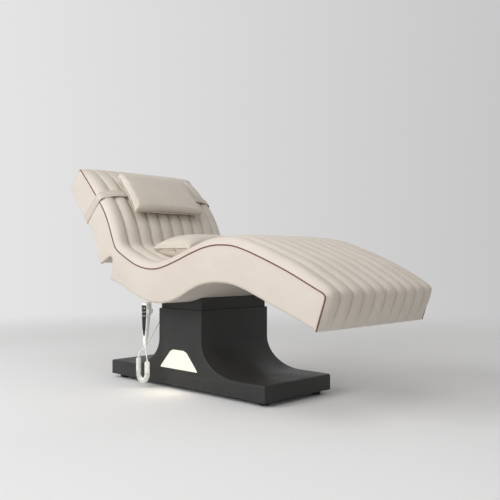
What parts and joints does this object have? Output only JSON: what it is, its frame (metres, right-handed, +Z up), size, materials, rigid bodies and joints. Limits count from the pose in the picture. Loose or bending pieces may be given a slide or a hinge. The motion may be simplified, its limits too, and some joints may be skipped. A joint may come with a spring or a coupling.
{
  "type": "electric treatment bed",
  "caption": "Wave-shaped upholstered treatment bed with channelled pads, a motor-tilted backrest, loose pillows and a wired handset, on a flared lifting pedestal with a lit window.",
  "frame": {"origin": "on the floor, under the middle of the bed's box", "axes": "+X to the foot end, -Y to the side with the handset, +Z up"},
  "size_m": [1.6416, 0.7074, 1.039],
  "materials": {
    "beige_leather": "smooth upholstery leather, satin",
    "black_cover": "satin black powder coat",
    "dark_steel": "plain steel",
    "black_plastic": "matte",
    "plywood": "plain ply",
    "white_plastic": "satin",
    "light_window": "frosted, lit from the edge",
    "black_rubber": "matte",
    "grey_keys": "matte"
  },
  "bodies": {
    "base": {"chassis_plate": "dark_steel", "rubber_foot_1": "black_rubber", "rubber_foot_2": "black_rubber", "rubber_foot_3": "black_rubber", "rubber_foot_4": "black_rubber", "side_cover_near": "black_cover", "side_cover_far": "black_cover", "plinth_cover_head": "black_cover", "plinth_cover_foot": "black_cover", "led_window_near": "light_window", "led_window_far": "light_window", "column_outer": "dark_steel", "lift_drive": "black_plastic", "power_supply": "dark_steel", "mains_inlet": "black_plastic"},
    "lift_middle": {"column_middle": "dark_steel"},
    "seat": {"column_inner": "dark_steel", "lift_rod": "dark_steel", "seat_saddle": "dark_steel", "skirt_near": "black_cover", "skirt_far": "black_cover", "skirt_head": "black_cover", "skirt_foot": "black_cover", "seat_rail_near": "dark_steel", "seat_rail_far": "dark_steel", "seat_cross_mid": "dark_steel", "seat_cross_foot": "dark_steel", "seat_deck": "plywood", "seat_cheek_near": "beige_leather", "seat_cheek_far": "beige_leather", "seat_underboard": "beige_leather", "seat_rear_board": "beige_leather", "seat_pad": "beige_leather", "control_box": "black_plastic", "handset_clip": "white_plastic", "back_drive_body": "black_plastic", "hinge_shaft": "dark_steel", "handset_cord": "white_plastic"},
    "backrest": {"back_pad": "beige_leather", "back_cheek_near": "beige_leather", "back_cheek_far": "beige_leather", "back_rearboard": "beige_leather", "back_lowerboard": "beige_leather", "back_deck": "plywood", "back_rail_near": "dark_steel", "back_rail_far": "dark_steel", "back_cross": "dark_steel"},
    "back_ram": {"back_drive_rod": "dark_steel"},
    "headrest": {"head_pillow": "beige_leather", "pillow_strap": "beige_leather"},
    "lumbar": {"lumbar_pillow": "beige_leather"},
    "handset": {"handset_body": "white_plastic", "handset_keypad": "black_plastic"},
    "press_1": {"key_1": "grey_keys"},
    "press_2": {"key_2": "grey_keys"},
    "press_3": {"key_3": "grey_keys"},
    "press_4": {"key_4": "grey_keys"},
    "press_5": {"key_5": "grey_keys"},
    "press_6": {"key_6": "grey_keys"}
  },
  "joints": [
    {"name": "lift", "type": "slide", "parent": "base", "child": "seat", "axis": [0, 0, 1], "range_m": [0, 0.22]},
    {"name": "lift_middle_slide", "type": "slide", "parent": "base", "child": "lift_middle", "axis": [0, 0, 1], "range_m": [0, 0.11]},
    {"name": "backrest_tilt", "type": "hinge", "parent": "seat", "child": "backrest", "pos_m": [-0.44762, 0, 0.615], "axis": [0, 1, 0], "range_deg": [-50, 10]},
    {"name": "back_ram_slide", "type": "slide", "parent": "seat", "child": "back_ram", "axis": [-0.9744, 0, 0.225], "range_m": [-0.09, 0.02]},
    {"name": "headrest_slide", "type": "slide", "parent": "backrest", "child": "headrest", "axis": [-0.6942, 0, 0.7198], "range_m": [-0.02, 0.06]},
    {"name": "lumbar_pillow_lift", "type": "slide", "parent": "seat", "child": "lumbar", "axis": [0, 0, 1], "range_m": [0, 0.35]},
    {"name": "handset_pull", "type": "slide", "parent": "seat", "child": "handset", "axis": [0, -1, 0], "range_m": [0, 0.12], "deforming": ["handset_cord"]},
    {"name": "key_1_press", "type": "slide", "parent": "handset", "child": "press_1", "axis": [0, 1, 0], "range_m": [0, 0.0008], "stiffness_N_per_m": 900, "springref_m": -0.0006},
    {"name": "key_2_press", "type": "slide", "parent": "handset", "child": "press_2", "axis": [0, 1, 0], "range_m": [0, 0.0008], "stiffness_N_per_m": 900, "springref_m": -0.0006},
    {"name": "key_3_press", "type": "slide", "parent": "handset", "child": "press_3", "axis": [0, 1, 0], "range_m": [0, 0.0008], "stiffness_N_per_m": 900, "springref_m": -0.0006},
    {"name": "key_4_press", "type": "slide", "parent": "handset", "child": "press_4", "axis": [0, 1, 0], "range_m": [0, 0.0008], "stiffness_N_per_m": 900, "springref_m": -0.0006},
    {"name": "key_5_press", "type": "slide", "parent": "handset", "child": "press_5", "axis": [0, 1, 0], "range_m": [0, 0.0008], "stiffness_N_per_m": 900, "springref_m": -0.0006},
    {"name": "key_6_press", "type": "slide", "parent": "handset", "child": "press_6", "axis": [0, 1, 0], "range_m": [0, 0.0008], "stiffness_N_per_m": 900, "springref_m": -0.0006}
  ],
  "couplings": [
    {"joint": "lift_middle_slide", "follows": "lift", "ratio": 0.5},
    {"joint": "back_ram_slide", "follows": "backrest_tilt", "m_per_rad": 0.1012}
  ]
}
